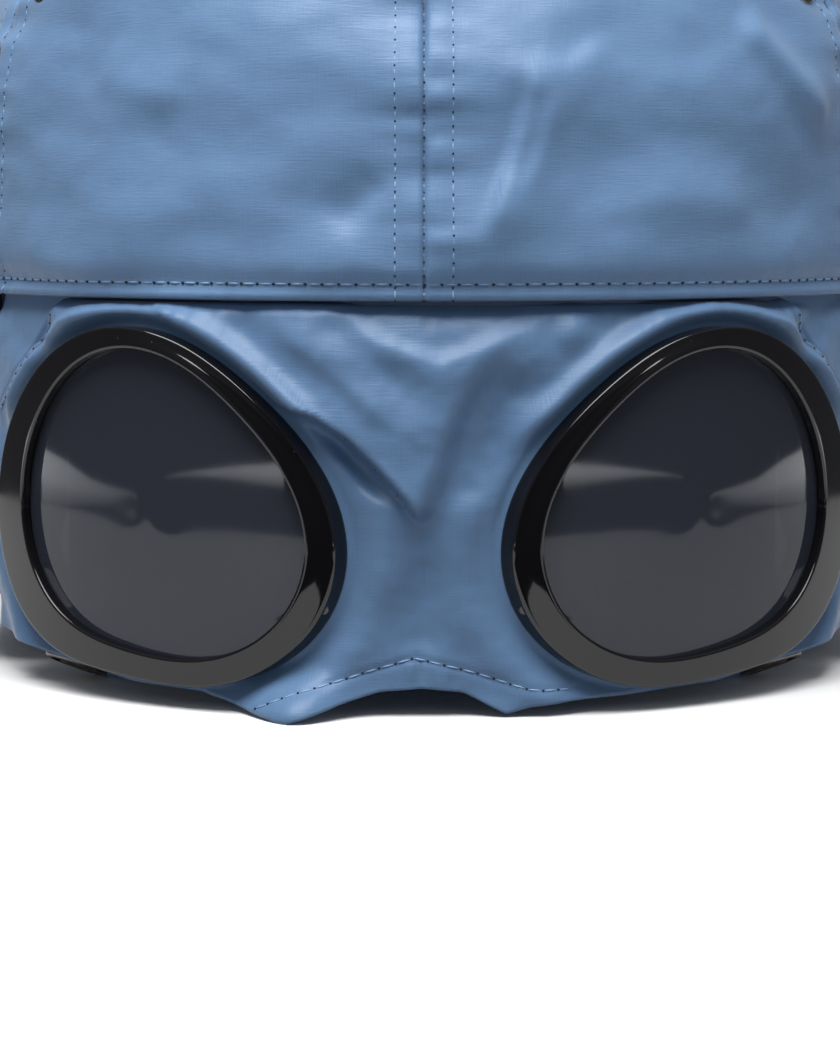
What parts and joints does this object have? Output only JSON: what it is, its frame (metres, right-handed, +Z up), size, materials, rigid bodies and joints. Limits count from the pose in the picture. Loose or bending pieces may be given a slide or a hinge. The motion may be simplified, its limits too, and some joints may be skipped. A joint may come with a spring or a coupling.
{
  "type": "goggle cap",
  "caption": "Close-fitting nylon cap with a stitched hem, a lift-up mask carrying egg-shaped smoke lenses in glossy rims, folding ear flaps and a nape strap with a slider.",
  "frame": {"origin": "on the head axis, at the ground plane the cap stands on with its nose tips and nape band", "axes": "+Z up through the crown, the wearer faces -Y, +X towards the wearer's left"},
  "size_m": [0.19, 0.1975, 0.1772],
  "materials": {
    "crown_cloth": "satin woven nylon",
    "mask_cloth": "satin woven nylon",
    "inner_cloth": "plain woven lining",
    "sweatband_cloth": "brushed jersey",
    "webbing": "ribbed webbing",
    "rim_acetate": "polished black",
    "lens_smoke": "polished smoke grey",
    "gasket_foam": "matt",
    "ring_plastic": "satin",
    "gunmetal": "gunmetal with a bronze edge",
    "screw_steel": "blackened"
  },
  "bodies": {
    "crown": {"rear_right_panel": "crown_cloth", "side_right_panel": "crown_cloth", "front_right_panel": "crown_cloth", "front_left_panel": "crown_cloth", "side_left_panel": "crown_cloth", "rear_left_panel": "crown_cloth", "hem_facing": "inner_cloth", "seam_tapes": "inner_cloth", "crown_lining": "inner_cloth", "sweatband": "sweatband_cloth", "vent_eyelets": "gunmetal", "vent_eyelet_washers": "gunmetal", "top_button": "crown_cloth", "top_button_shank": "screw_steel", "right_temple_gusset": "crown_cloth", "left_temple_gusset": "crown_cloth", "nape_band": "crown_cloth", "nape_lining": "inner_cloth", "nape_strap": "webbing"},
    "mask": {"mask_outer": "mask_cloth", "mask_lining": "inner_cloth", "nose_facing": "inner_cloth", "right_rim": "rim_acetate", "left_rim": "rim_acetate", "right_lens": "lens_smoke", "left_lens": "lens_smoke", "right_gasket": "gasket_foam", "left_gasket": "gasket_foam", "right_back_ring": "ring_plastic", "left_back_ring": "ring_plastic", "right_rim_screws": "screw_steel", "left_rim_screws": "screw_steel", "right_snap_tab": "mask_cloth", "left_snap_tab": "mask_cloth", "right_snap_cap": "gunmetal", "left_snap_cap": "gunmetal", "right_snap_socket": "gunmetal", "left_snap_socket": "gunmetal"},
    "left_ear_flap": {"left_ear_flap_outer": "crown_cloth", "left_ear_flap_lining": "inner_cloth"},
    "right_ear_flap": {"right_ear_flap_outer": "crown_cloth", "right_ear_flap_lining": "inner_cloth"},
    "slider": {"nape_slider": "ring_plastic"}
  },
  "joints": [
    {"name": "mask_flip", "type": "hinge", "parent": "crown", "child": "mask", "pos_m": [0, -0.0956, 0.073], "axis": [-1, 0, 0], "range_deg": [0, 95]},
    {"name": "left_ear_flap_fold", "type": "hinge", "parent": "crown", "child": "left_ear_flap", "pos_m": [0.0956, 0, 0.073], "axis": [0, -1, 0], "range_deg": [0, 150]},
    {"name": "right_ear_flap_fold", "type": "hinge", "parent": "crown", "child": "right_ear_flap", "pos_m": [-0.0956, 0, 0.073], "axis": [0, 1, 0], "range_deg": [0, 150]},
    {"name": "slider_travel", "type": "hinge", "parent": "crown", "child": "slider", "pos_m": [0, 0, 0.03], "axis": [0, 0, 1], "range_deg": [-30, 30]}
  ]
}
